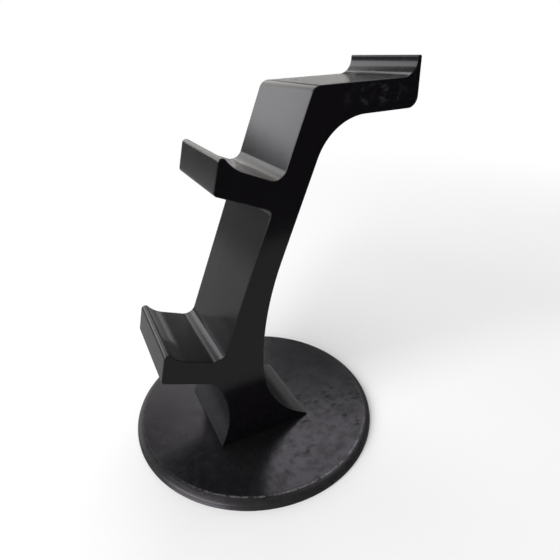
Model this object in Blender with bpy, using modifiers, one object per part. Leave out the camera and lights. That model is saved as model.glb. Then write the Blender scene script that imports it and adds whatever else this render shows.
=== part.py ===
"""Game controller stand with two cradles and an arm for a headset.

The stand is two printed pieces: an upright, which is one side profile of
constant width, and a round base disc with a pocket that the upright's tongue
is glued into. Sizes are in metres. The front is -Y, +Z is up, and the origin
is the centre of the base's underside.
"""

from math import atan2, ceil, cos, pi, radians, sin, tan

import bmesh
import bpy
from mathutils import Vector

# Base disc
DISC_DIAMETER = 0.220
DISC_THICKNESS = 0.008
DISC_EDGE_RADIUS = 0.007
DISC_STEPS = 144

# Upright: its width, and the leaning post in side view
BODY_WIDTH = 0.079
LEAN_ANGLE = radians(21.5)
POST_THICKNESS = 0.021
EDGE_ROUND = 0.0006

# Lower cradle's root, where its underside meets the line of the post's front
CRADLE_ROOT_Y = -0.0493
CRADLE_ROOT_HEIGHT = 0.0775

# Cradles, measured along the post and straight out from its front
CRADLE_PITCH = 0.1412
LOWER_CRADLE_DEPTH = 0.0426
UPPER_CRADLE_DEPTH = 0.0444
CRADLE_FLOOR = 0.0195
CRADLE_INNER_RADIUS = 0.009
LIP_HEIGHT = 0.0242
LIP_FLARE = radians(8.5)
LIP_TOP_WIDTH = 0.0045
LIP_SCOOP_RISE = radians(34.5)
LIP_SCOOP_RADIUS = 0.030
LIP_TOP_RADIUS = 0.003
LIP_BACK_RADIUS = 0.001
LIP_BOTTOM_RADIUS = 0.0028
CRADLE_ROOT_RADIUS = 0.004

# Arm for the headset, which rises a little to its upturned tip
ARM_ROOT_HEIGHT = 0.2864
ARM_RISE_ANGLE = radians(2.4)
ARM_THICKNESS = 0.0207
ARM_LENGTH = 0.0867
ARM_END_RADIUS = 0.008
UNDER_ARM_RADIUS = 0.042
TOP_FRONT_RADIUS = 0.008
TIP_RISE = 0.0132
TIP_THICKNESS = 0.0035
TIP_ROUND = 0.0012
TIP_SCOOP_RADIUS = 0.011

# Waist and foot, where the profile narrows and then flares onto the disc
WAIST_HEIGHT = 0.080
WAIST_DEPTH = 0.0409
REAR_TOE_REACH = 0.0425
TOE_LAND = 0.001
FRONT_TOE_SETBACK = 0.0011
FRONT_FOOT_HOLLOW = 0.0165
FRONT_FOOT_RADIUS = 0.070
FRONT_ROOT_RADIUS = 0.012

# Tongue under the foot, and the pocket that holds it
TONGUE_WIDTH = 0.060
TONGUE_INSET = 0.010
TONGUE_LENGTH = 0.005
SEAT_GAP = 0.0003

# Arcs are drawn with one segment for each of these angles
ARC_STEP = radians(4.0)

PLASTIC_BLACK = (0.012, 0.012, 0.014, 1.0)
DISC_BLACK = (0.018, 0.018, 0.020, 1.0)


def clear_scene():
    """Remove every object, so that the stand starts in an empty scene."""
    for item in list(bpy.data.objects):
        bpy.data.objects.remove(item, do_unlink=True)


def new_collection(name):
    """Return a new collection linked to the scene."""
    collection = bpy.data.collections.new(name)
    bpy.context.scene.collection.children.link(collection)
    return collection


def plastic(name, colour, roughness):
    """Return a plain plastic material."""
    material = bpy.data.materials.new(name)
    material.use_nodes = True
    shader = material.node_tree.nodes["Principled BSDF"]
    shader.inputs["Base Color"].default_value = colour
    shader.inputs["Roughness"].default_value = roughness
    shader.inputs["Metallic"].default_value = 0.0
    return material


def post_front(height):
    """Return the y of the post's front line at a height above the floor."""
    return CRADLE_ROOT_Y + (height - CRADLE_ROOT_HEIGHT) * tan(LEAN_ANGLE)


def post_rear(height):
    """Return the y of the post's rear line at a height above the floor."""
    return post_front(height) + POST_THICKNESS / cos(LEAN_ANGLE)


def from_root(along, out):
    """Return the (y, z) point that lies along the post and out from its front."""
    y = CRADLE_ROOT_Y + along * sin(LEAN_ANGLE) - out * cos(LEAN_ANGLE)
    z = CRADLE_ROOT_HEIGHT + along * cos(LEAN_ANGLE) + out * sin(LEAN_ANGLE)
    return y, z


def cradle_corners(start, depth, root_radius):
    """Return one cradle's corners as (y, z, radius), from its floor to its root.

    start is the distance along the post from the lower cradle's root, and
    depth is how far the cradle's underside reaches out from the post.
    """
    lip_front = depth + LIP_HEIGHT * tan(LIP_FLARE)
    lip_back = lip_front - LIP_TOP_WIDTH
    scoop_start = lip_back - (LIP_HEIGHT - CRADLE_FLOOR) / tan(LIP_SCOOP_RISE)
    corners = (
        (CRADLE_FLOOR, 0.0, CRADLE_INNER_RADIUS),
        (CRADLE_FLOOR, scoop_start, LIP_SCOOP_RADIUS),
        (LIP_HEIGHT, lip_back, LIP_BACK_RADIUS),
        (LIP_HEIGHT, lip_front, LIP_TOP_RADIUS),
        (0.0, depth, LIP_BOTTOM_RADIUS),
        (0.0, 0.0, root_radius),
    )
    return [(*from_root(start + along, out), radius) for along, out, radius in corners]


def foot_rear_corners(sole):
    """Return the corners from the rear toe up to the leaning rear line.

    The instep and the bend above it are two arcs that touch at the waist,
    where the rear edge stands upright.
    """
    waist_y = post_front(WAIST_HEIGHT) + WAIST_DEPTH
    toe_y = waist_y + REAR_TOE_REACH
    toe_top = sole + TOE_LAND
    rise = WAIST_HEIGHT - toe_top
    span = REAR_TOE_REACH ** 2 + rise ** 2
    instep_z = WAIST_HEIGHT - span / (2 * rise)
    instep_radius = span / (2 * REAR_TOE_REACH)
    bend_z = CRADLE_ROOT_HEIGHT + (waist_y - post_rear(CRADLE_ROOT_HEIGHT)) / tan(LEAN_ANGLE)
    bend_radius = (bend_z - WAIST_HEIGHT) / tan(LEAN_ANGLE / 2)
    return [
        (toe_y, toe_top, 0.0),
        (waist_y, instep_z, instep_radius),
        (waist_y, bend_z, bend_radius),
    ]


def from_arm(reach, up):
    """Return the (y, z) point that lies along the arm's top line and square to it."""
    y = post_front(ARM_ROOT_HEIGHT) + reach * cos(ARM_RISE_ANGLE) - up * sin(ARM_RISE_ANGLE)
    z = ARM_ROOT_HEIGHT + reach * sin(ARM_RISE_ANGLE) + up * cos(ARM_RISE_ANGLE)
    return y, z


def under_arm_reach():
    """Return how far along the arm its underside meets the post's rear line."""
    y, z = from_arm(0.0, -ARM_THICKNESS)
    closing = cos(ARM_RISE_ANGLE) - sin(ARM_RISE_ANGLE) * tan(LEAN_ANGLE)
    return (post_rear(z) - y) / closing


def arm_corners():
    """Return the corners of the headset arm, from under it to the post's front."""
    tip_inner = ARM_LENGTH - TIP_THICKNESS
    corners = (
        (under_arm_reach(), -ARM_THICKNESS, UNDER_ARM_RADIUS),
        (ARM_LENGTH, -ARM_THICKNESS, ARM_END_RADIUS),
        (ARM_LENGTH, TIP_RISE, TIP_ROUND),
        (tip_inner, TIP_RISE, TIP_ROUND),
        (tip_inner, 0.0, TIP_SCOOP_RADIUS),
        (0.0, 0.0, TOP_FRONT_RADIUS),
    )
    return [(*from_arm(reach, up), radius) for reach, up, radius in corners]


def front_toe_y():
    """Return the y of the foot's front edge on the disc."""
    return CRADLE_ROOT_Y + FRONT_TOE_SETBACK


def rear_toe_y():
    """Return the y of the foot's rear edge on the disc."""
    return post_front(WAIST_HEIGHT) + WAIST_DEPTH + REAR_TOE_REACH


def foot_front_corners(sole):
    """Return the corners of the foot's hollow front edge, down to its toe."""
    toe_top = sole + TOE_LAND
    middle = (CRADLE_ROOT_HEIGHT + toe_top) / 2
    return [
        (CRADLE_ROOT_Y + FRONT_FOOT_HOLLOW, middle, FRONT_FOOT_RADIUS),
        (front_toe_y(), toe_top, 0.0),
    ]


def profile_corners(sole, bottom):
    """Return the whole side profile's corners, up its rear and down its front.

    sole is the height at which the foot is cut flat, and bottom is a lower
    height that the outline runs down to before that cut.
    """
    return [
        (rear_toe_y(), bottom, 0.0),
        *foot_rear_corners(sole),
        *arm_corners(),
        *cradle_corners(CRADLE_PITCH, UPPER_CRADLE_DEPTH, CRADLE_ROOT_RADIUS),
        *cradle_corners(0.0, LOWER_CRADLE_DEPTH, FRONT_ROOT_RADIUS),
        *foot_front_corners(sole),
        (front_toe_y(), bottom, 0.0),
    ]


def round_corner(corner, to_last, to_next, reach):
    """Return the points of an arc that starts and ends at reach from a corner."""
    last_side = to_last.normalized()
    next_side = to_next.normalized()
    half_angle = last_side.angle(next_side) / 2
    radius = reach * tan(half_angle)
    centre = corner + (last_side + next_side).normalized() * (reach / cos(half_angle))
    first = corner + last_side * reach - centre
    turn = first.angle_signed(corner + next_side * reach - centre)
    steps = max(2, ceil(abs(turn) / ARC_STEP))
    start = atan2(first.y, first.x)
    points = []
    for step in range(steps + 1):
        angle = start - turn * step / steps
        points.append(centre + Vector((cos(angle), sin(angle))) * radius)
    return points


def rounded_outline(corners):
    """Return a closed outline's points, with each corner rounded to its radius.

    Where two fillets would meet on a short side, both are limited by it.
    """
    places = [Vector((y, z)) for y, z, _ in corners]
    count = len(places)
    sides = [places[(index + 1) % count] - places[index] for index in range(count)]
    reaches = []
    for index, (_, _, radius) in enumerate(corners):
        inner_angle = (-sides[index - 1]).angle(sides[index])
        reaches.append(radius / tan(inner_angle / 2))
    limits = []
    for index, side in enumerate(sides):
        wanted = reaches[index] + reaches[(index + 1) % count]
        limits.append(min(1.0, side.length / wanted) if wanted else 1.0)
    points = []
    for index, place in enumerate(places):
        reach = reaches[index] * min(limits[index - 1], limits[index])
        if reach:
            points += round_corner(place, -sides[index - 1], sides[index], reach)
        else:
            points.append(place)
    return points


def without_repeats(points):
    """Return the points without those that lie on the one before."""
    kept = []
    for point in points:
        if not kept or (point - kept[-1]).length > 0.00002:
            kept.append(point)
    return kept


def profile_object(name, corners, width, edge_round, collection):
    """Return a mesh object: a side profile drawn in Y and Z, as wide as given in X."""
    curve = bpy.data.curves.new(name + "_profile", "CURVE")
    curve.dimensions = "2D"
    curve.fill_mode = "BOTH"
    curve.extrude = width / 2 - edge_round
    curve.bevel_depth = edge_round
    curve.bevel_resolution = 1
    curve.offset = -edge_round
    points = without_repeats(rounded_outline(corners))
    spline = curve.splines.new("POLY")
    spline.points.add(len(points) - 1)
    for spline_point, place in zip(spline.points, points):
        spline_point.co = (place.x, place.y, 0.0, 1.0)
    spline.use_cyclic_u = True
    drawn = bpy.data.objects.new(name + "_profile", curve)
    drawn.rotation_euler = (pi / 2, 0.0, pi / 2)
    collection.objects.link(drawn)
    bpy.context.view_layer.update()
    evaluated = drawn.evaluated_get(bpy.context.evaluated_depsgraph_get())
    mesh = bpy.data.meshes.new_from_object(evaluated)
    mesh.name = name
    weld(mesh)
    solid = bpy.data.objects.new(name, mesh)
    solid.matrix_world = drawn.matrix_world
    collection.objects.link(solid)
    bpy.data.objects.remove(drawn, do_unlink=True)
    return solid


def weld(mesh):
    """Join the loose caps of a filled curve's mesh to its walls."""
    shape = bmesh.new()
    shape.from_mesh(mesh)
    bmesh.ops.remove_doubles(shape, verts=shape.verts, dist=0.000005)
    shape.to_mesh(mesh)
    shape.free()


def box_object(name, low, high, collection):
    """Return a box between two opposite corners."""
    mesh = bpy.data.meshes.new(name)
    shape = bmesh.new()
    bmesh.ops.create_cube(shape, size=1.0)
    size = Vector(high) - Vector(low)
    middle = (Vector(high) + Vector(low)) / 2
    bmesh.ops.scale(shape, vec=size, verts=shape.verts)
    bmesh.ops.translate(shape, vec=middle, verts=shape.verts)
    shape.to_mesh(mesh)
    shape.free()
    item = bpy.data.objects.new(name, mesh)
    item.hide_render = True
    item.display_type = "WIRE"
    collection.objects.link(item)
    return item


def combine(target, tool, operation):
    """Cut or join a mesh object by another one."""
    modifier = target.modifiers.new(tool.name, "BOOLEAN")
    modifier.operation = operation
    modifier.solver = "EXACT"
    modifier.object = tool


def shade_by_angle(mesh, angle):
    """Shade a mesh smooth, with edges sharper than the angle kept sharp."""
    mesh.shade_smooth()
    mesh.set_sharp_from_angle(angle=angle)


def tongue_span(clearance):
    """Return the front and rear y of the tongue, or of its pocket with a clearance."""
    front = front_toe_y() + TONGUE_INSET - clearance
    rear = rear_toe_y() - TONGUE_INSET + clearance
    return front, rear


def make_upright(parts, cutters):
    """Build the upright: the side profile, cut flat at its sole, with its tongue."""
    sole = DISC_THICKNESS + SEAT_GAP
    tongue_bottom = sole - TONGUE_LENGTH
    corners = profile_corners(sole, tongue_bottom)
    upright = profile_object("upright", corners, BODY_WIDTH, EDGE_ROUND, parts)
    shade_by_angle(upright.data, radians(30.0))

    front, rear = tongue_span(0.0)
    below = sole - 2 * TONGUE_LENGTH
    trim = box_object(
        "sole_trim",
        (-BODY_WIDTH, front_toe_y() - TONGUE_INSET, below),
        (BODY_WIDTH, rear_toe_y() + TONGUE_INSET, sole),
        cutters,
    )
    tongue = box_object(
        "tongue",
        (-TONGUE_WIDTH / 2, front, tongue_bottom),
        (TONGUE_WIDTH / 2, rear, sole + TOE_LAND / 2),
        cutters,
    )
    combine(upright, trim, "DIFFERENCE")
    combine(upright, tongue, "UNION")
    upright.data.materials.append(plastic("black_upright", PLASTIC_BLACK, 0.38))
    return upright


def disc_profile():
    """Return the disc's turned profile as (radius, height), from top to bottom."""
    radius = DISC_DIAMETER / 2
    centre_out = radius - DISC_EDGE_RADIUS
    centre_up = DISC_THICKNESS - DISC_EDGE_RADIUS
    steps = ceil(pi / 2 / (2 * ARC_STEP))
    profile = [(0.0, DISC_THICKNESS)]
    for step in range(steps + 1):
        angle = pi / 2 * (1 - step / steps)
        out = centre_out + DISC_EDGE_RADIUS * cos(angle)
        up = centre_up + DISC_EDGE_RADIUS * sin(angle)
        profile.append((out, up))
    profile.append((radius, 0.0))
    profile.append((0.0, 0.0))
    return profile


def turned_object(name, profile, steps, collection):
    """Return a profile turned about the Z axis with a Screw modifier."""
    mesh = bpy.data.meshes.new(name)
    shape = bmesh.new()
    points = [shape.verts.new((out, 0.0, up)) for out, up in profile]
    for first, second in zip(points, points[1:]):
        shape.edges.new((first, second))
    shape.to_mesh(mesh)
    shape.free()
    item = bpy.data.objects.new(name, mesh)
    collection.objects.link(item)
    screw = item.modifiers.new("turn", "SCREW")
    screw.axis = "Z"
    screw.steps = steps
    screw.render_steps = steps
    screw.use_merge_vertices = True
    screw.merge_threshold = 0.00001
    screw.use_smooth_shade = True
    return item


def make_base_disc(parts, cutters):
    """Build the round base with its rounded rim and the pocket for the tongue."""
    disc = turned_object("base_disc", disc_profile(), DISC_STEPS, parts)
    front, rear = tongue_span(SEAT_GAP)
    half_width = TONGUE_WIDTH / 2 + SEAT_GAP
    floor = DISC_THICKNESS - TONGUE_LENGTH
    pocket = box_object(
        "tongue_pocket",
        (-half_width, front, floor),
        (half_width, rear, DISC_THICKNESS + TONGUE_LENGTH),
        cutters,
    )
    combine(disc, pocket, "DIFFERENCE")
    disc.data.materials.append(plastic("black_disc", DISC_BLACK, 0.5))
    return disc


def main():
    """Build the stand."""
    clear_scene()
    parts = new_collection("game_controller_stand")
    cutters = new_collection("cutters")
    make_base_disc(parts, cutters)
    make_upright(parts, cutters)


main()
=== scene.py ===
"""The look of the game controller stand: two black printed pieces in a plain studio.

The stand is an upright, printed lying on its side, and a round base disc,
printed flat. Sizes are in metres in the frame's own axes: the front is -Y,
+Z is up, and the origin is the centre of the base's underside.
"""

import logging
from dataclasses import dataclass, field
from enum import Enum
from functools import cached_property
from math import atan2, ceil, cos, pi, radians, sin, sqrt, tan
from random import Random
from typing import Any

import bmesh
import bpy
from mathutils import Matrix, Vector
from mathutils.geometry import tessellate_polygon


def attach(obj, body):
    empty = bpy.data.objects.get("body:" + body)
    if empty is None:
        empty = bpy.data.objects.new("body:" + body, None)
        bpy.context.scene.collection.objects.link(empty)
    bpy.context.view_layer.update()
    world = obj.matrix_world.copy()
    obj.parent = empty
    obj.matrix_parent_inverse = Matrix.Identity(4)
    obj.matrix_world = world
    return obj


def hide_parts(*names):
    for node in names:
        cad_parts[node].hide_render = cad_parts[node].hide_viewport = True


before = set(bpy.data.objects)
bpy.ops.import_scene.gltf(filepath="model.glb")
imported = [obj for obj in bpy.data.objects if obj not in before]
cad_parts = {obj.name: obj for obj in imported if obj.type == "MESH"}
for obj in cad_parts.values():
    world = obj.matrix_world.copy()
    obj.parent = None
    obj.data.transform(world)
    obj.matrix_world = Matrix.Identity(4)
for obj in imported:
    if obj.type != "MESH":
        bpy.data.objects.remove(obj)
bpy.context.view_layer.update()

log = logging.getLogger("stand")

Colour = tuple[float, float, float]
Corner = tuple[float, float, float]

WHITE: Colour = (1.0, 1.0, 1.0)
DIAGONAL = sqrt(2.0)  # lines at 45 degrees lie this much further apart along a sum of two axes


@dataclass(frozen=True)
class Step:
    """A smooth step from 0 up to a height, between two values of what it follows."""

    start: float
    end: float
    height: float = 1.0


@dataclass(frozen=True)
class Noise:
    """A soft noise: its features for each metre, its finer layers and its axes' stretch."""

    scale: float
    detail: float = 2.0
    roughness: float = 0.5
    stretch: Corner = (1.0, 1.0, 1.0)


class Wire:
    """One output socket of a shader, with arithmetic written as operators."""

    def __init__(self, shader: "Shader", socket: bpy.types.NodeSocket) -> None:
        """Keep the socket and the shader that it is in."""
        self.shader = shader
        self.socket = socket

    def maths(self, operation: str, *values: "Wire | float") -> "Wire":
        """Return a Math node's result, with the values in its sockets in order."""
        return self.shader.node("ShaderNodeMath", {"operation": operation}, dict(enumerate(values)))

    def __add__(self, other: "Wire | float") -> "Wire":
        """Return self + other."""
        return self.maths("ADD", self, other)

    def __radd__(self, other: float) -> "Wire":
        """Return other + self."""
        return self.maths("ADD", other, self)

    def __sub__(self, other: "Wire | float") -> "Wire":
        """Return self - other."""
        return self.maths("SUBTRACT", self, other)

    def __rsub__(self, other: float) -> "Wire":
        """Return other - self."""
        return self.maths("SUBTRACT", other, self)

    def __mul__(self, other: "Wire | float") -> "Wire":
        """Return self * other."""
        return self.maths("MULTIPLY", self, other)

    def __rmul__(self, other: float) -> "Wire":
        """Return other * self."""
        return self.maths("MULTIPLY", other, self)

    def __truediv__(self, other: "Wire | float") -> "Wire":
        """Return self / other."""
        return self.maths("DIVIDE", self, other)

    def __pow__(self, other: "Wire | float") -> "Wire":
        """Return self ** other."""
        return self.maths("POWER", self, other)

    def __abs__(self) -> "Wire":
        """Return abs(self)."""
        return self.maths("ABSOLUTE", self)

    def ripple(self, pitch: float, shift: "Wire | float" = 0.0) -> "Wire":
        """Return an even wave from 0 to 1 along this wire, with its crests a pitch apart."""
        return self.maths("SINE", self * (2 * pi / pitch) + shift) * 0.5 + 0.5

    def least(self, other: "Wire | float") -> "Wire":
        """Return the smaller of the two."""
        return self.maths("MINIMUM", self, other)

    def swing(self, amount: float) -> "Wire":
        """Return this noise as a swing of some amount round 0."""
        return (self - 0.5) * amount

    def rise(self, step: Step) -> "Wire":
        """Return a smooth step along this wire."""
        sockets = {"Value": self, "From Min": step.start, "From Max": step.end, "To Max": step.height}
        return self.shader.node("ShaderNodeMapRange", {"interpolation_type": "SMOOTHSTEP"}, sockets)


class Shader:
    """The nodes of one material or world."""

    def __init__(self, owner: bpy.types.Material | bpy.types.World) -> None:
        """Start with no nodes but the output.

        Args:
            owner: the material or world whose nodes these are.
        """
        owner.use_nodes = True
        self.tree = owner.node_tree
        self.tree.nodes.clear()
        kind = "ShaderNodeOutputWorld" if isinstance(owner, bpy.types.World) else "ShaderNodeOutputMaterial"
        self.output = self.tree.nodes.new(kind)

    def node(
        self,
        kind: str,
        settings: dict[str, Any] | None = None,
        sockets: dict[str | int, Any] | None = None,
        output: str | int = 0,
    ) -> Wire:
        """Add a node, set it up and join it.

        Args:
            kind: the node's type.
            settings: its properties, by name.
            sockets: values or wires for its inputs, by name or by number.
            output: which of its outputs is wanted.

        Returns:
            The wire of that output.
        """
        made = self.tree.nodes.new(kind)
        for name, value in (settings or {}).items():
            setattr(made, name, value)
        for name, value in (sockets or {}).items():
            if isinstance(value, Wire):
                self.tree.links.new(value.socket, made.inputs[name])
            else:
                made.inputs[name].default_value = value
        return Wire(self, made.outputs[output])

    @cached_property
    def place(self) -> Wire:
        """Return the place on the surface, in metres."""
        return self.node("ShaderNodeTexCoord", output="Object")

    @cached_property
    def axes(self) -> tuple[Wire, Wire, Wire]:
        """Return the place's x, y and z."""
        split = self.node("ShaderNodeSeparateXYZ", {}, {0: self.place}).socket.node
        return tuple(Wire(self, split.outputs[axis]) for axis in range(3))

    @cached_property
    def outward(self) -> Wire:
        """Return the place's distance from the upright axis through the origin."""
        across, back, _ = self.axes
        return (across ** 2.0 + back ** 2.0) ** 0.5

    def stretched(self, scale: Corner) -> Wire:
        """Return the place with each axis scaled."""
        return self.node("ShaderNodeVectorMath", {"operation": "MULTIPLY"}, {0: self.place, 1: scale})

    def noise(self, noise: Noise) -> Wire:
        """Return soft noise over the place.

        Args:
            noise: its scale, finer layers and stretch.

        Returns:
            The wire of the noise, from about 0 to 1.
        """
        sockets = {
            "Vector": self.stretched(noise.stretch),
            "Scale": noise.scale,
            "Detail": noise.detail,
            "Roughness": noise.roughness,
        }
        return self.node("ShaderNodeTexNoise", {"noise_dimensions": "3D"}, sockets)

    def tint(self, mask: Wire, first: Any, second: Any) -> Wire:
        """Return a colour between two.

        Args:
            mask: 0 for the first colour, 1 for the second.
            first: a colour or the wire of one.
            second: a colour or the wire of one.

        Returns:
            The wire of the colour.
        """
        colours = [value if isinstance(value, Wire) else (*value, 1.0) for value in (first, second)]
        sockets = {0: mask, 6: colours[0], 7: colours[1]}
        return self.node("ShaderNodeMix", {"data_type": "RGBA"}, sockets, output=2)

    def matt(self, colour: Colour) -> Wire:
        """Return a matt surface of one colour."""
        return self.node("ShaderNodeBsdfDiffuse", {}, {"Color": (*colour, 1.0)})

    def blend(self, mask: Wire, first: Wire, second: Wire) -> Wire:
        """Return a surface between two, with 0 for the first and 1 for the second."""
        return self.node("ShaderNodeMixShader", {}, {0: mask, 1: first, 2: second})

    def finish_with(self, wire: Wire) -> None:
        """Join a shader to the output."""
        self.tree.links.new(wire.socket, self.output.inputs["Surface"])


def new_shader(name: str) -> tuple[bpy.types.Material, Shader]:
    """Return a new material and its empty shader."""
    material = bpy.data.materials.new(name)
    return material, Shader(material)


@dataclass(frozen=True)
class Finish:
    """What all the printed finishes share: a plastic with a fine relief."""

    name: str
    colour: Colour
    roughness: float
    ior: float
    sheen: Colour = WHITE
    relief: float = 0.8

    def plastic(self, shader: Shader, colour: Wire, roughness: Wire, height: Wire) -> Wire:
        """Return the plastic's surface.

        Args:
            shader: the shader that it is in.
            colour: the wire of its colour.
            roughness: the wire of its roughness.
            height: the wire of its relief, in metres.

        Returns:
            The wire of the surface.
        """
        bump = {"Height": height, "Distance": 1.0, "Strength": self.relief}
        sockets = {
            "Base Color": colour,
            "Roughness": roughness,
            "Normal": shader.node("ShaderNodeBump", {}, bump),
            "IOR": self.ior,
            "Specular Tint": (*self.sheen, 1.0),
        }
        return shader.node("ShaderNodeBsdfPrincipled", {}, sockets)

    def surface(self, shader: Shader) -> Wire:
        """Return the finish's surface, which each finish makes in its own way."""
        raise NotImplementedError(self.name)

    def build(self) -> bpy.types.Material:
        """Build the finish.

        Returns:
            The material.
        """
        material, shader = new_shader(self.name)
        shader.finish_with(self.surface(shader))
        return material


@dataclass(frozen=True)
class LayeredWall(Finish):
    """Satin walls of the upright, whose layers lie square to its width."""

    name: str = "layered_wall"
    colour: Colour = (0.0080, 0.0075, 0.0082)
    roughness: float = 0.18
    ior: float = 1.48
    sheen: Colour = (0.98, 0.945, 1.0)
    worn_colour: Colour = (0.024, 0.0235, 0.024)
    layer: float = 0.0002
    layer_depth: float = 0.000003
    bands: Noise = Noise(1.0, 3.0, 0.6, (900.0, 9.0, 9.0))
    band_depth: float = 0.000015
    band_roughness: float = 0.16
    band_dust: Step = Step(0.52, 0.80, 0.55)
    streaks: Noise = Noise(1.0, 2.0, 0.5, (2600.0, 60.0, 60.0))
    streak_depth: float = 0.000005
    grain: Noise = Noise(2200.0, 2.0, 0.6)
    grain_depth: float = 0.000002
    grain_roughness: float = 0.05
    clouds: Noise = Noise(38.0, 3.0, 0.55)
    cloud_dust: Step = Step(0.50, 0.85, 0.30)
    edge: Step = Step(0.0386, 0.0395)
    edge_chips: Step = Step(0.42, 0.75, 0.7)
    edge_roughness: float = 0.15

    def surface(self, shader: Shader) -> Wire:
        """Return the surface: banded layers, faint dust and worn edges.

        Args:
            shader: the shader that it is in.

        Returns:
            The wire of the surface.
        """
        across = shader.axes[0]
        bands = shader.noise(self.bands)
        grain = shader.noise(self.grain)
        worn = abs(across).rise(self.edge) * grain.rise(self.edge_chips)
        dusty = shader.noise(self.clouds).rise(self.cloud_dust) + bands.rise(self.band_dust)
        colour = shader.tint(worn, self.colour, self.worn_colour)
        colour = shader.tint(dusty, colour, self.worn_colour)
        roughness = self.roughness + bands.swing(self.band_roughness)
        roughness = roughness + grain.swing(self.grain_roughness) + worn * self.edge_roughness
        height = bands * self.band_depth + across.ripple(self.layer) * self.layer_depth
        height = height + shader.noise(self.streaks) * self.streak_depth + grain * self.grain_depth
        return self.plastic(shader, colour, roughness, height)


@dataclass(frozen=True)
class BedFace(Finish):
    """The glassy side of the upright that lay on the print bed."""

    name: str = "bed_face"
    colour: Colour = (0.0044, 0.0038, 0.0048)
    roughness: float = 0.13
    ior: float = 1.46
    mark_colour: Colour = (0.022, 0.022, 0.023)
    mark_roughness: float = 0.35
    line_pitch: float = 0.00045
    line_depth: float = 0.000003
    clouds: Noise = Noise(55.0, 3.0, 0.6)
    cloud_depth: float = 0.00004
    cloud_roughness: float = 0.08
    cloud_marks: Step = Step(0.62, 0.90, 0.22)
    grain: Noise = Noise(1500.0, 2.0, 0.6)
    grain_least: float = 0.6
    grain_share: float = 0.8
    blots: Noise = Noise(1.0, 2.0, 0.55, (1.0, 130.0, 190.0))
    blot_marks: Step = Step(0.50, 0.72, 0.8)
    smudge_y: float = 0.083
    smudge_z: float = 0.2797
    near_y: Step = Step(0.032, 0.0128)
    near_z: Step = Step(0.009, 0.004)

    def surface(self, shader: Shader) -> Wire:
        """Return the surface: fine lines, faint clouds, and finger smudges along the arm.

        Args:
            shader: the shader that it is in.

        Returns:
            The wire of the surface.
        """
        _, back, up = shader.axes
        clouds = shader.noise(self.clouds)
        near = abs(back - self.smudge_y).rise(self.near_y) * abs(up - self.smudge_z).rise(self.near_z)
        smudges = shader.noise(self.blots).rise(self.blot_marks) * near
        grainy = self.grain_least + shader.noise(self.grain) * self.grain_share
        marks = (smudges + clouds.rise(self.cloud_marks)) * grainy
        colour = shader.tint(marks, self.colour, self.mark_colour)
        roughness = self.roughness + marks * self.mark_roughness + clouds.swing(self.cloud_roughness)
        lines = (back + up).ripple(self.line_pitch * DIAGONAL)
        height = lines * self.line_depth + clouds * self.cloud_depth
        return self.plastic(shader, colour, roughness, height)


@dataclass(frozen=True)
class TopFill(Finish):
    """A face made of a last layer's side-by-side lines, as on the upright's far side."""

    name: str = "top_fill"
    colour: Colour = (0.0115, 0.0112, 0.0119)
    roughness: float = 0.34
    ior: float = 1.47
    relief: float = 0.7
    mark_colour: Colour = (0.026, 0.026, 0.027)
    line_pitch: float = 0.00042
    line_depth: float = 0.000018
    wander: Noise = Noise(120.0)
    wander_turn: float = 1.5
    strips: Noise = Noise(1.0, 1.0, 0.5, (1.0, 700.0, 700.0))
    strip_depth: float = 0.00001
    strip_marks: Step = Step(0.62, 0.85, 0.3)
    clouds: Noise = Noise(45.0, 3.0, 0.6)
    cloud_roughness: float = 0.14
    cloud_marks: Step = Step(0.45, 0.80, 0.6)

    def surface(self, shader: Shader) -> Wire:
        """Return the surface: wandering lines, some of them paler.

        Args:
            shader: the shader that it is in.

        Returns:
            The wire of the surface.
        """
        _, back, up = shader.axes
        wander = shader.noise(self.wander) * self.wander_turn
        strips = shader.noise(self.strips)
        clouds = shader.noise(self.clouds)
        marks = clouds.rise(self.cloud_marks) + strips.rise(self.strip_marks)
        colour = shader.tint(marks, self.colour, self.mark_colour)
        roughness = self.roughness + clouds.swing(self.cloud_roughness)
        lines = (back - up).ripple(self.line_pitch * DIAGONAL, wander)
        height = lines * self.line_depth + strips * self.strip_depth
        return self.plastic(shader, colour, roughness, height)


@dataclass(frozen=True)
class LastLayer:
    """The lines of the disc's last layer, with loops that follow its rim."""

    pitch: float = 0.00045
    depth: float = 0.000006
    loops: Step = Step(0.1020, 0.1024)
    loop_strength: float = 1.6

    def height(self, shader: Shader) -> Wire:
        """Return how high the lines stand.

        Args:
            shader: the shader that it is in.

        Returns:
            The wire of their height, in metres.
        """
        across, back, _ = shader.axes
        outward = shader.outward
        lines = (across + back).ripple(self.pitch * DIAGONAL)
        loops = outward.ripple(self.pitch) * self.loop_strength
        return (lines + (loops - lines) * outward.rise(self.loops)) * self.depth


@dataclass(frozen=True)
class CreaseHighlightAndWear:
    """Pale marks on the crease of the disc's rim: partly worn plastic, partly a painted highlight,
    strongest on the right (+X).
    """

    # the pale colour of the painted crease highlight and its worn marks
    colour: Colour = (0.16, 0.155, 0.16)
    roughness: float = 0.1
    radius: float = 0.1042
    reach: float = 0.0011
    above: Step = Step(0.0068, 0.0076)
    chips: Noise = Noise(330.0, 3.0, 0.7)
    chip_share: Step = Step(0.36, 0.60)
    # weak on the left and strongest on the right (+X), where the painted highlight falls
    least: float = 0.12
    to_right: Step = Step(0.045, 0.090, 0.88)

    def mask(self, shader: Shader) -> Wire:
        """Return where the painted highlight and worn marks are.

        Args:
            shader: the shader that it is in.

        Returns:
            The wire of the highlight and marks, from 0 to 1.
        """
        across, _, up = shader.axes
        by_crease = 1 - (abs(shader.outward - self.radius) / self.reach).least(1.0)
        chips = shader.noise(self.chips).rise(self.chip_share)
        return by_crease * chips * up.rise(self.above) * (self.least + across.rise(self.to_right))


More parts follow.
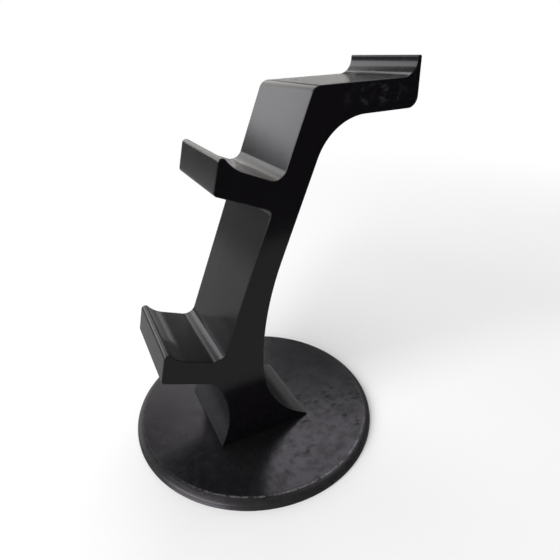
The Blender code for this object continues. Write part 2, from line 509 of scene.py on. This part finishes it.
@dataclass(frozen=True)
class Spots:
    """Small dark spots in the disc's top, most of them at its rear right."""

    depth: float = 0.00004
    cell_scale: float = 150.0
    cell_stretch: Corner = (1.0, 0.65, 1.0)
    cell_share: Step = Step(0.52, 0.10)
    wander: Noise = Noise(230.0, 3.0, 0.65)
    wander_reach: float = 0.007
    patches: Noise = Noise(48.0, 1.0)
    patch_share: Step = Step(0.36, 0.56)
    least: float = 0.20
    to_right: Step = Step(-0.03, 0.04)
    to_rear: Step = Step(-0.04, 0.03, 0.80)

    def mask(self, shader: Shader) -> Wire:
        """Return where the spots are.

        Args:
            shader: the shader that it is in.

        Returns:
            The wire of the spots, from 0 to 1.
        """
        across, back, _ = shader.axes
        wander = shader.noise(self.wander) * self.wander_reach
        stretched = shader.stretched(self.cell_stretch)
        shifted = shader.node("ShaderNodeVectorMath", {"operation": "ADD"}, {0: stretched, 1: wander})
        sockets = {"Vector": shifted, "Scale": self.cell_scale}
        cells = shader.node("ShaderNodeTexVoronoi", {}, sockets, "Distance").rise(self.cell_share)
        marked = self.least + across.rise(self.to_right) * back.rise(self.to_rear)
        return cells * marked * shader.noise(self.patches).rise(self.patch_share)


@dataclass(frozen=True)
class Pits:
    """Dull pits in the disc's top, fewest at its front left."""

    colour: Colour = (0.003, 0.003, 0.003)
    roughness: float = 0.6
    ior: float = 1.2
    blotches: Noise = Noise(75.0, 4.0, 0.62)
    blotch_share: Step = Step(0.38, 0.64, 0.26)
    mottle_share: Step = Step(0.42, 0.64, 0.14)
    spot_share: float = 0.50
    least: float = 0.35
    slant: float = 0.5
    to_rear: Step = Step(-0.085, 0.0, 0.65)

    def mask(self, shader: Shader, mottle: Wire, spots: Wire) -> Wire:
        """Return where the pits are.

        Args:
            shader: the shader that it is in.
            mottle: the wire of the fine mottling.
            spots: the wire of the dark spots.

        Returns:
            The wire of the pits, from 0 to 1.
        """
        across, back, _ = shader.axes
        blotches = shader.noise(self.blotches).rise(self.blotch_share)
        uneven = self.least + (across * self.slant + back).rise(self.to_rear)
        return spots * self.spot_share + (blotches + mottle.rise(self.mottle_share)) * uneven

    def surface(self, shader: Shader) -> Wire:
        """Return the surface inside the pits."""
        sockets = {"Base Color": (*self.colour, 1.0), "Roughness": self.roughness, "IOR": self.ior}
        return shader.node("ShaderNodeBsdfPrincipled", {}, sockets)


@dataclass(frozen=True)
class DustAndPaintedReflection:
    """The disc's dust, grainy on its top and in streaks round its rim; its lightening outward is a painted
    reflection, not more dust.
    """

    colour: Colour = (0.0205, 0.0190, 0.0212)
    least: float = 0.15
    clouds: Noise = Noise(24.0, 3.0, 0.55)
    cloud_share: Step = Step(0.30, 0.75, 0.35)
    mottle_share: Step = Step(0.42, 0.75, 0.45)
    grain_least: float = 0.4
    grain_share: float = 0.9
    # middle and outward make the dust lighter towards the rim: a painted reflection laid over the real dust
    middle: float = 0.32
    outward: Step = Step(0.045, 0.085, 0.88)
    rim_colour: Colour = (0.022, 0.0209, 0.0194)
    rim_least: float = 0.1
    rim_streaks: Noise = Noise(1.0, 2.0, 0.6, (60.0, 60.0, 1800.0))
    rim_streak_share: float = 0.7
    rim_mottle_share: Step = Step(0.4, 0.7, 0.4)

    def mask(self, shader: Shader, mottle: Wire, grain: Wire) -> Wire:
        """Return how thick the dust lies, with the painted reflection that lightens it outward.

        Args:
            shader: the shader that it is in.
            mottle: the wire of the fine mottling.
            grain: the wire of the grain.

        Returns:
            The wire of the dust and painted reflection, from 0 to about 1.
        """
        clouds = shader.noise(self.clouds).rise(self.cloud_share)
        settled = self.least + clouds + mottle.rise(self.mottle_share)
        grainy = self.grain_least + grain * self.grain_share
        # the outward rise is painted reflection, not dust
        return settled * grainy * (self.middle + shader.outward.rise(self.outward))

    def rim_mask(self, shader: Shader, mottle: Wire) -> Wire:
        """Return how thick the dust round the rim lies."""
        streaks = shader.noise(self.rim_streaks) * self.rim_streak_share
        return self.rim_least + streaks + mottle.rise(self.rim_mottle_share)


@dataclass(frozen=True)
class DustyTop(Finish):
    """The disc's mottled plastic, with its lines, spots, pits and dust; a painted reflection lightens it
    outward and a painted highlight lies along its crease.
    """

    name: str = "dusty_top"
    colour: Colour = (0.0034, 0.0031, 0.0035)
    roughness: float = 0.22
    ior: float = 1.50
    sheen: Colour = (0.94, 0.89, 1.0)
    top: Step = Step(0.0074, 0.0078)
    side_roughness: float = 0.08
    mottle: Noise = Noise(150.0, 4.0, 0.62)
    mottle_depth: float = 0.00003
    mottle_roughness: float = 0.16
    grain: Noise = Noise(1300.0, 3.0, 0.65)
    grain_depth: float = 0.000004
    flecks: Noise = Noise(520.0, 1.0)
    fleck_share: Step = Step(0.70, 0.80, 0.12)
    most_pale: float = 0.95
    lines: LastLayer = LastLayer()
    # the crease's painted highlight and worn marks
    crease: CreaseHighlightAndWear = CreaseHighlightAndWear()
    spots: Spots = Spots()
    pits: Pits = Pits()
    dust: DustAndPaintedReflection = DustAndPaintedReflection()

    def surface(self, shader: Shader) -> Wire:
        """Return the surface: plastic, with pits of a duller one on its top.

        Args:
            shader: the shader that it is in.

        Returns:
            The wire of the surface.
        """
        on_top = shader.axes[2].rise(self.top)
        on_side = 1 - on_top
        mottle = shader.noise(self.mottle)
        grain = shader.noise(self.grain)
        spots = self.spots.mask(shader)
        # the crease's pale marks: a painted highlight, partly worn plastic
        crease_highlight_and_wear = self.crease.mask(shader)
        flecks = shader.noise(self.flecks).rise(self.fleck_share) * on_top
        # dust, lighter towards the rim by a painted reflection
        colour = shader.tint(self.dust.mask(shader, mottle, grain), self.colour, self.dust.colour)
        rim_dust = on_side * self.dust.rim_mask(shader, mottle)
        colour = shader.tint(rim_dust, colour, self.dust.rim_colour)
        # the crease's painted highlight and the pale dust flecks tint towards the pale colour
        colour = shader.tint((crease_highlight_and_wear + flecks).least(self.most_pale), colour, self.crease.colour)
        roughness = self.roughness + mottle.swing(self.mottle_roughness)
        roughness = roughness + crease_highlight_and_wear * self.crease.roughness + on_side * self.side_roughness
        height = self.lines.height(shader) * on_top + mottle * self.mottle_depth
        height = height + grain * self.grain_depth - spots * self.spots.depth
        plastic = self.plastic(shader, colour, roughness, height)
        pitted = self.pits.mask(shader, mottle, spots) * on_top
        return shader.blend(pitted, plastic, self.pits.surface(shader))


class Cut(Enum):
    """The ways in which one solid is worked into another."""

    AWAY = "DIFFERENCE"
    ON = "UNION"


def new_object(name: str, shape: bmesh.types.BMesh) -> bpy.types.Object:
    """Put a shape in the scene as an object, with its faces outward, and free the shape.

    Args:
        name: the name of the object and its mesh.
        shape: the shape.

    Returns:
        The new object.
    """
    bmesh.ops.recalc_face_normals(shape, faces=shape.faces)
    mesh = bpy.data.meshes.new(name)
    shape.to_mesh(mesh)
    shape.free()
    item = bpy.data.objects.new(name, mesh)
    bpy.context.scene.collection.objects.link(item)
    return item


def block(name: str, low: Corner, high: Corner) -> bpy.types.Object:
    """Return a plain block, used to cut or to extend a piece.

    Args:
        name: the block's name.
        low: its lowest corner.
        high: its highest corner.

    Returns:
        The block's object.
    """
    shape = bmesh.new()
    bmesh.ops.create_cube(shape, size=1.0)
    size = Vector(high) - Vector(low)
    bmesh.ops.scale(shape, vec=size, verts=shape.verts)
    bmesh.ops.translate(shape, vec=(Vector(high) + Vector(low)) / 2, verts=shape.verts)
    return new_object(name, shape)


def worked(item: bpy.types.Object, way: Cut, tool: bpy.types.Object) -> None:
    """Cut or extend a piece by a block, for good, and remove the block.

    Args:
        item: the piece.
        way: how it is worked.
        tool: the block.
    """
    modifier = item.modifiers.new(tool.name, "BOOLEAN")
    modifier.operation = way.value
    modifier.solver = "EXACT"
    modifier.object = tool
    bpy.context.view_layer.update()
    evaluated = item.evaluated_get(bpy.context.evaluated_depsgraph_get())
    mesh = bpy.data.meshes.new_from_object(evaluated)
    mesh.name = item.name
    item.modifiers.clear()
    item.data = mesh
    bpy.data.objects.remove(tool, do_unlink=True)


def smooth_but_sharp(item: bpy.types.Object, angle: float) -> None:
    """Shade a piece smooth between its sharp edges, and keep its flats flat.

    Args:
        item: the piece.
        angle: edges that turn more than this stay sharp.
    """
    item.data.shade_smooth()
    item.data.set_sharp_from_angle(angle=angle)
    modifier = item.modifiers.new("flat_faces", "WEIGHTED_NORMAL")
    modifier.keep_sharp = True
    modifier.weight = 100


@dataclass
class Profile:
    """The upright's side profile, drawn in Y and Z from the stand's own sizes."""

    sole: float = 0.0083
    lean: float = radians(21.5)
    post_thickness: float = 0.021
    root_y: float = -0.0493
    root_height: float = 0.0775
    cradle_pitch: float = 0.1412
    lower_depth: float = 0.0426
    upper_depth: float = 0.0444
    cradle_floor: float = 0.0195
    cradle_inner_radius: float = 0.009
    lip_height: float = 0.0242
    lip_flare: float = radians(8.5)
    lip_top_width: float = 0.0045
    scoop_rise: float = radians(34.5)
    scoop_radius: float = 0.030
    lip_top_radius: float = 0.003
    lip_back_radius: float = 0.001
    lip_bottom_radius: float = 0.0028
    upper_root_radius: float = 0.004
    arm_height: float = 0.2864
    arm_rise: float = radians(2.4)
    arm_thickness: float = 0.0207
    arm_length: float = 0.0867
    arm_end_radius: float = 0.008
    under_arm_radius: float = 0.042
    top_front_radius: float = 0.008
    tip_rise: float = 0.0132
    tip_thickness: float = 0.0035
    tip_round: float = 0.0012
    tip_scoop_radius: float = 0.011
    waist_height: float = 0.080
    waist_depth: float = 0.0409
    rear_toe_reach: float = 0.0425
    toe_land: float = 0.001
    front_toe_setback: float = 0.0011
    foot_hollow: float = 0.0165
    foot_radius: float = 0.070
    lower_root_radius: float = 0.012
    tongue_width: float = 0.060
    tongue_inset: float = 0.010
    arc_step: float = radians(2.0)
    least_arc_steps: int = 4
    least_side: float = 0.00002
    sharp_limit: float = 0.4

    def post_front(self, height: float) -> float:
        """Return the y of the post's front line at a height."""
        return self.root_y + (height - self.root_height) * tan(self.lean)

    def post_rear(self, height: float) -> float:
        """Return the y of the post's rear line at a height."""
        return self.post_front(height) + self.post_thickness / cos(self.lean)

    def front_toe(self) -> float:
        """Return the y of the foot's front edge."""
        return self.root_y + self.front_toe_setback

    def rear_toe(self) -> float:
        """Return the y of the foot's rear edge."""
        return self.post_front(self.waist_height) + self.waist_depth + self.rear_toe_reach

    def tongue(self, name: str, low: float, high: float, room: float = 0.0) -> bpy.types.Object:
        """Return a block in the shape of the foot's tongue.

        Args:
            name: the block's name.
            low: the height of its lower face.
            high: the height of its upper face.
            room: how much further out its four sides lie.

        Returns:
            The block's object.
        """
        half = self.tongue_width / 2 + room
        inset = self.tongue_inset - room
        return block(name, (-half, self.front_toe() + inset, low), (half, self.rear_toe() - inset, high))

    def cradle(self, start: float, depth: float, root_radius: float) -> list[Corner]:
        """Return one cradle's corners, from its floor round its lip to its root.

        Args:
            start: how far along the post it starts.
            depth: how far its underside reaches out from the post.
            root_radius: the rounding where its underside meets the post.

        Returns:
            The corners, each with its y, z and rounding.
        """
        lip_front = depth + self.lip_height * tan(self.lip_flare)
        lip_back = lip_front - self.lip_top_width
        scoop = lip_back - (self.lip_height - self.cradle_floor) / tan(self.scoop_rise)
        corners = (
            (self.cradle_floor, 0.0, self.cradle_inner_radius),
            (self.cradle_floor, scoop, self.scoop_radius),
            (self.lip_height, lip_back, self.lip_back_radius),
            (self.lip_height, lip_front, self.lip_top_radius),
            (0.0, depth, self.lip_bottom_radius),
            (0.0, 0.0, root_radius),
        )
        placed = []
        for along, out, radius in corners:
            y = self.root_y + (start + along) * sin(self.lean) - out * cos(self.lean)
            z = self.root_height + (start + along) * cos(self.lean) + out * sin(self.lean)
            placed.append((y, z, radius))
        return placed

    def arm_point(self, reach: float, up: float) -> tuple[float, float]:
        """Return a point of the arm.

        Args:
            reach: how far along the arm it lies.
            up: how far above the arm's top it lies, square to it.

        Returns:
            Its y and z.
        """
        y = self.post_front(self.arm_height) + reach * cos(self.arm_rise) - up * sin(self.arm_rise)
        z = self.arm_height + reach * sin(self.arm_rise) + up * cos(self.arm_rise)
        return y, z

    def arm(self) -> list[Corner]:
        """Return the arm's corners, from under it, round its tip to the post's front.

        Returns:
            The corners, each with its y, z and rounding.
        """
        y, z = self.arm_point(0.0, -self.arm_thickness)
        closing = cos(self.arm_rise) - sin(self.arm_rise) * tan(self.lean)
        under = (self.post_rear(z) - y) / closing
        tip_inner = self.arm_length - self.tip_thickness
        corners = (
            (under, -self.arm_thickness, self.under_arm_radius),
            (self.arm_length, -self.arm_thickness, self.arm_end_radius),
            (self.arm_length, self.tip_rise, self.tip_round),
            (tip_inner, self.tip_rise, self.tip_round),
            (tip_inner, 0.0, self.tip_scoop_radius),
            (0.0, 0.0, self.top_front_radius),
        )
        return [(*self.arm_point(reach, up), radius) for reach, up, radius in corners]

    def rear_foot(self) -> list[Corner]:
        """Return the corners from the rear toe up to the post's leaning rear.

        Returns:
            The corners, each with its y, z and rounding.
        """
        waist_y = self.post_front(self.waist_height) + self.waist_depth
        toe_top = self.sole + self.toe_land
        rise = self.waist_height - toe_top
        span = self.rear_toe_reach ** 2 + rise ** 2
        bend_z = self.root_height + (waist_y - self.post_rear(self.root_height)) / tan(self.lean)
        return [
            (self.rear_toe(), toe_top, 0.0),
            (waist_y, self.waist_height - span / (2 * rise), span / (2 * self.rear_toe_reach)),
            (waist_y, bend_z, (bend_z - self.waist_height) / tan(self.lean / 2)),
        ]

    def corners(self) -> list[Corner]:
        """Return the whole outline's corners, up its rear and down its front.

        Returns:
            The corners, each with its y, z and rounding.
        """
        toe_top = self.sole + self.toe_land
        return [
            (self.rear_toe(), self.sole, 0.0),
            *self.rear_foot(),
            *self.arm(),
            *self.cradle(self.cradle_pitch, self.upper_depth, self.upper_root_radius),
            *self.cradle(0.0, self.lower_depth, self.lower_root_radius),
            (self.root_y + self.foot_hollow, (self.root_height + toe_top) / 2, self.foot_radius),
            (self.front_toe(), toe_top, 0.0),
            (self.front_toe(), self.sole, 0.0),
        ]

    def _arc(self, corner: Vector, back: Vector, ahead: Vector, reach: float) -> list[Vector]:
        """Round one corner.

        Args:
            corner: the corner.
            back: the way to the corner before it.
            ahead: the way to the corner after it.
            reach: how far from the corner the arc starts and ends.

        Returns:
            The arc's points.
        """
        back, ahead = back.normalized(), ahead.normalized()
        half = back.angle(ahead) / 2
        centre = corner + (back + ahead).normalized() * (reach / cos(half))
        first = corner + back * reach - centre
        turn = first.angle_signed(corner + ahead * reach - centre)
        steps = max(self.least_arc_steps, ceil(abs(turn) / self.arc_step))
        start = atan2(first.y, first.x)
        angles = [start - turn * step / steps for step in range(steps + 1)]
        return [centre + Vector((cos(angle), sin(angle))) * (reach * tan(half)) for angle in angles]

    def outline(self) -> list[Vector]:
        """Round every corner, with an arc no longer than its sides allow.

        Returns:
            The outline's points, each a y and z.
        """
        corners = self.corners()
        places = [Vector((y, z)) for y, z, _ in corners]
        count = len(places)
        sides = [places[(index + 1) % count] - places[index] for index in range(count)]
        reaches = []
        for index, (_, _, radius) in enumerate(corners):
            reaches.append(radius / tan((-sides[index - 1]).angle(sides[index]) / 2))
        limits = []
        for index, side in enumerate(sides):
            wanted = reaches[index] + reaches[(index + 1) % count]
            limits.append(min(1.0, side.length / wanted) if wanted else 1.0)
        points: list[Vector] = []
        for index, place in enumerate(places):
            reach = reaches[index] * min(limits[index - 1], limits[index])
            arc = self._arc(place, -sides[index - 1], sides[index], reach) if reach else [place]
            for point in arc:
                if not points or (point - points[-1]).length > self.least_side:
                    points.append(point)
        return points

    def inward(self, points: list[Vector]) -> list[Vector]:
        """Find the way in from each point of an outline.

        Args:
            points: the outline's points.

        Returns:
            The ways, each as long as moves the two sides beside it in by 1.
        """
        count = len(points)
        ways = []
        for index, point in enumerate(points):
            back = (point - points[index - 1]).normalized()
            ahead = (points[(index + 1) % count] - point).normalized()
            back_in = Vector((-back.y, back.x))
            ahead_in = Vector((-ahead.y, ahead.x))
            middle = (back_in + ahead_in).normalized()
            ways.append(middle / max(self.sharp_limit, middle.dot(ahead_in)))
        return ways


@dataclass
class UprightPrint:
    """The upright: one profile of constant width, printed lying on its side."""

    width: float = 0.079
    edge_round: float = 0.0006
    edge_steps: int = 4
    ring_pitch: float = 0.0016
    ring_waver: float = 0.000025
    seed: int = 5
    tongue_length: float = 0.005
    sharp_angle: float = radians(30.0)
    flat_limit: float = 0.999
    profile: Profile = field(default_factory=Profile)
    wall: LayeredWall = LayeredWall()
    bed_face: BedFace = BedFace()
    top_fill: TopFill = TopFill()

    def _rings(self) -> list[tuple[float, float]]:
        """Space the rings out, close together round both edges.

        Returns:
            Each ring's x and how far its outline is moved in.
        """
        half = self.width / 2
        flat = half - self.edge_round
        edge = []
        for step in range(self.edge_steps):
            angle = pi / 2 * step / self.edge_steps
            edge.append((flat + self.edge_round * cos(angle), self.edge_round * (1 - sin(angle))))
        chance = Random(self.seed)
        count = round(2 * flat / self.ring_pitch)
        middle = []
        for index in range(count + 1):
            waver = chance.uniform(0.0, self.ring_waver)
            middle.append((-flat + 2 * flat * index / count, waver))
        near = [(-x, inset) for x, inset in edge]
        far = [(x, inset) for x, inset in reversed(edge)]
        return near + middle + far

    def build(self) -> bpy.types.Object:
        """Build the upright, with the tongue on its sole.

        Returns:
            The upright's object.
        """
        points = self.profile.outline()
        ways = self.profile.inward(points)
        shape = bmesh.new()
        rings = []
        for x, inset in self._rings():
            ring = [shape.verts.new((x, *(point + way * inset))) for point, way in zip(points, ways)]
            rings.append(ring)
        count = len(points)
        for near, far in zip(rings, rings[1:]):
            for index in range(count):
                after = (index + 1) % count
                shape.faces.new((near[index], near[after], far[after], far[index]))
        for ring in (rings[0], rings[-1]):
            for corners in tessellate_polygon([[vertex.co for vertex in ring]]):
                shape.faces.new([ring[index] for index in corners])
        item = new_object("upright_print", shape)
        sole, land = self.profile.sole, self.profile.toe_land
        tongue = self.profile.tongue("tongue", sole - self.tongue_length, sole + land / 2)
        worked(item, Cut.ON, tongue)
        smooth_but_sharp(item, self.sharp_angle)
        return item

    def dress(self, item: bpy.types.Object) -> None:
        """Give the walls and the two flat sides their finishes.

        Args:
            item: the upright's object.
        """
        item.data.materials.clear()
        for finish in (self.wall, self.bed_face, self.top_fill):
            item.data.materials.append(finish.build())
        for face in item.data.polygons:
            flat = abs(face.normal.x) > self.flat_limit and face.center.z > self.profile.sole
            face.material_index = (1 if face.normal.x > 0 else 2) if flat else 0


@dataclass
class BaseDiscPrint:
    """The round base, printed flat, whose rounded rim shows its layers as steps."""

    radius: float = 0.110
    thickness: float = 0.008
    edge_radius: float = 0.007
    layer: float = 0.0002
    bead: float = 0.00004
    bead_shoulder: float = 0.22
    segments: int = 240
    pocket_depth: float = 0.005
    seat_gap: float = 0.0003
    sharp_angle: float = radians(50.0)
    foot: Profile = field(default_factory=Profile)
    finish: DustyTop = DustyTop()

    def _layer_radius(self, height: float) -> float:
        """Return how far out the disc reaches at a height."""
        rise = max(0.0, height - (self.thickness - self.edge_radius))
        return self.radius - self.edge_radius + sqrt(max(0.0, self.edge_radius ** 2 - rise ** 2))

    def _section(self) -> list[tuple[float, float]]:
        """Draw the turned section, with a rounded bead for each layer.

        Returns:
            Its points, each a radius and a height, from the top down.
        """
        layers = round(self.thickness / self.layer)
        section = [(0.0, self.thickness)]
        for index in range(layers):
            top = self.thickness - index * self.layer
            low = top - self.layer
            out = self._layer_radius((top + low) / 2)
            section.append((out - 2 * self.bead, top))
            section.append((out - self.bead / 2, top - self.layer * self.bead_shoulder))
            section.append((out, (top + low) / 2))
            section.append((out - self.bead / 2, low + self.layer * self.bead_shoulder))
        section.append((self.radius - 2 * self.bead, 0.0))
        section.append((0.0, 0.0))
        return section

    def build(self) -> bpy.types.Object:
        """Build the disc, with the tongue's pocket cut in its top.

        Returns:
            The disc's object.
        """
        shape = bmesh.new()
        section = self._section()
        rings = []
        for out, up in section[1:-1]:
            angles = [2 * pi * step / self.segments for step in range(self.segments)]
            rings.append([shape.verts.new((out * cos(angle), out * sin(angle), up)) for angle in angles])
        for upper, lower in zip(rings, rings[1:]):
            for index in range(self.segments):
                after = (index + 1) % self.segments
                shape.faces.new((upper[index], lower[index], lower[after], upper[after]))
        shape.faces.new(rings[0])
        shape.faces.new(reversed(rings[-1]))
        item = new_object("base_disc_print", shape)
        low, high = self.thickness - self.pocket_depth, self.thickness + self.pocket_depth
        pocket = self.foot.tongue("tongue_pocket", low, high, self.seat_gap)
        worked(item, Cut.AWAY, pocket)
        smooth_but_sharp(item, self.sharp_angle)
        return item

    def dress(self, item: bpy.types.Object) -> None:
        """Give the disc its finish."""
        item.data.materials.clear()
        item.data.materials.append(self.finish.build())


@dataclass
class Stand:
    """The whole stand: each printed piece takes its node's place."""

    upright: UprightPrint = field(default_factory=UprightPrint)
    base_disc: BaseDiscPrint = field(default_factory=BaseDiscPrint)

    def build(self) -> list[bpy.types.Object]:
        """Build and dress both pieces, and let them ride on the root.

        Returns:
            The pieces.
        """
        pieces = []
        for maker, node, slot in (
            (self.base_disc, "base_disc", "black_disc"),
            (self.upright, "upright", "black_upright"),
        ):
            piece = maker.build()
            maker.dress(piece)
            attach(piece, "root")
            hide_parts(node)
            pieces.append(piece)
        return pieces


@dataclass
class Softbox:
    """A rectangular soft light beside the stand, turned to its middle."""

    name: str
    azimuth: float
    elevation: float
    distance: float
    width: float
    height: float
    radiance: float
    tone: Colour = WHITE
    aim: Corner = (0.0, 0.0, 0.1)

    def build(self) -> bpy.types.Object:
        """Set up the light.

        Returns:
            The light's object.
        """
        lamp = bpy.data.lights.new(self.name, "AREA")
        lamp.shape = "RECTANGLE"
        lamp.size = self.width
        lamp.size_y = self.height
        lamp.energy = self.radiance * pi * self.width * self.height
        lamp.color = self.tone
        turn, rise = radians(self.azimuth), radians(self.elevation)
        way = Vector((-sin(turn) * cos(rise), cos(turn) * cos(rise), sin(rise)))
        item = bpy.data.objects.new(self.name, lamp)
        item.location = Vector(self.aim) + way * self.distance
        item.rotation_euler = way.to_track_quat("Z", "Y").to_euler()
        bpy.context.scene.collection.objects.link(item)
        return item


@dataclass
class Studio:
    """A pale floor under soft light, with a dark card at the right."""

    floor_size: float = 12.0
    floor_colour: Colour = (0.965, 0.965, 0.965)
    dull_colour: Colour = (0.10, 0.10, 0.10)
    dull_share: float = 0.70
    floor_lift: float = 0.10
    fade: Step = Step(0.35, 1.4)
    sky: float = 0.22
    mirrored_sky: float = 0.20
    card_low: Corner = (0.45, -0.5, 0.0)
    card_high: Corner = (0.452, 1.8, 0.9)
    card_colour: Colour = (0.01, 0.01, 0.01)
    softboxes: tuple[Softbox, ...] = (
        Softbox("front_box", 202.0, 30.0, 3.4, 3.0, 2.1, 7.15),
        Softbox("left_window", 122.0, 24.0, 2.3, 1.15, 0.90, 2.35, (0.97, 0.98, 1.0)),
        Softbox("left_wall", 87.5, 26.5, 2.3, 1.45, 1.02, 1.35, (1.0, 0.98, 0.93)),
        Softbox("top_box", 55.0, 58.0, 2.1, 1.4, 1.26, 1.95),
        Softbox("back_panel", 52.0, 6.0, 2.3, 1.6, 0.43, 0.8, (1.0, 0.97, 0.94)),
    )

    @staticmethod
    def _rays(shader: Shader) -> tuple[Wire, Wire]:
        """Tell the rays apart.

        Args:
            shader: the shader that asks.

        Returns:
            A wire that is 1 for the camera's own rays, and one for mirrored or refracted ones.
        """
        seen = shader.node("ShaderNodeLightPath", output="Is Camera Ray")
        glossy = shader.node("ShaderNodeLightPath", output="Is Glossy Ray")
        through = shader.node("ShaderNodeLightPath", output="Is Transmission Ray")
        return seen, glossy + through

    def _floor(self) -> bpy.types.Object:
        """Build the floor, which turns to plain white far out, as the camera sees it.

        Returns:
            The floor's object.
        """
        shape = bmesh.new()
        bmesh.ops.create_grid(shape, x_segments=1, y_segments=1, size=self.floor_size / 2)
        item = new_object("floor", shape)
        material, shader = new_shader("pale_floor")
        seen, mirrored = self._rays(shader)
        far_out = shader.outward.rise(self.fade)
        lift = self.floor_lift + (1 - self.floor_lift) * far_out
        matt, dull = shader.matt(self.floor_colour), shader.matt(self.dull_colour)
        white = shader.node("ShaderNodeEmission", {}, {"Color": (*WHITE, 1.0), "Strength": 1.0})
        lit = shader.blend(mirrored * self.dull_share, matt, dull)
        shader.finish_with(shader.blend(seen * lift, lit, white))
        item.data.materials.append(material)
        return item

    def _card(self) -> bpy.types.Object:
        """Build the dark card, which shows in reflections alone.

        Returns:
            The card's object.
        """
        item = block("dark_card", self.card_low, self.card_high)
        material, shader = new_shader("dark_card")
        shader.finish_with(shader.matt(self.card_colour))
        item.data.materials.append(material)
        item.visible_camera = False
        item.visible_diffuse = False
        item.visible_shadow = False
        return item

    def _sky(self) -> None:
        """Make the world white to the camera and soft grey to all else."""
        world = bpy.data.worlds.new("studio")
        bpy.context.scene.world = world
        shader = Shader(world)
        seen, mirrored = self._rays(shader)
        strength = self.sky + seen * (1.0 - self.sky) + mirrored * (self.mirrored_sky - self.sky)
        sockets = {"Color": (*WHITE, 1.0), "Strength": strength}
        shader.finish_with(shader.node("ShaderNodeBackground", {}, sockets))

    def build(self) -> list[bpy.types.Object]:
        """Set up the floor, the card, the world and the lights.

        Returns:
            All the objects of the studio.
        """
        floor = self._floor()
        card = self._card()
        self._sky()
        return [floor, card, *(softbox.build() for softbox in self.softboxes)]


@dataclass
class Viewpoint:
    """The camera, where the photograph was taken from."""

    place: Corner = (0.2921, -0.1209, 0.3038)
    azimuth: float = radians(63.0)
    pitch: float = radians(27.7)
    roll: float = radians(-0.34)
    focal_pixels: float = 429.7
    image_pixels: float = 560.0
    sensor: float = 36.0
    nearest: float = 0.01

    def build(self) -> bpy.types.Object:
        """Set up the scene's camera.

        Returns:
            The camera's object.
        """
        lens = bpy.data.cameras.new("viewpoint")
        lens.sensor_width = self.sensor
        lens.lens = self.focal_pixels / self.image_pixels * self.sensor
        lens.clip_start = self.nearest
        item = bpy.data.objects.new("viewpoint", lens)
        turn = Matrix.Rotation(self.azimuth, 3, "Z") @ Matrix.Rotation(pi / 2 - self.pitch, 3, "X")
        turn = turn @ Matrix.Rotation(self.roll, 3, "Z")
        item.matrix_world = Matrix.LocRotScale(Vector(self.place), turn, None)
        bpy.context.scene.collection.objects.link(item)
        bpy.context.scene.camera = item
        return item


def main() -> None:
    """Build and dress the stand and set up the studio."""
    logging.basicConfig(level=logging.INFO, format="%(name)s: %(message)s")
    camera = Viewpoint().build()
    log.info("camera: %.1f mm", camera.data.lens)
    for piece in Stand().build():
        log.info("piece: %s, %d faces", piece.name, len(piece.data.polygons))
    for item in Studio().build():
        log.info("studio: %s", item.name)
    bpy.context.scene.view_settings.view_transform = "Standard"
    bpy.context.view_layer.update()


if __name__ == "__main__":
    main()
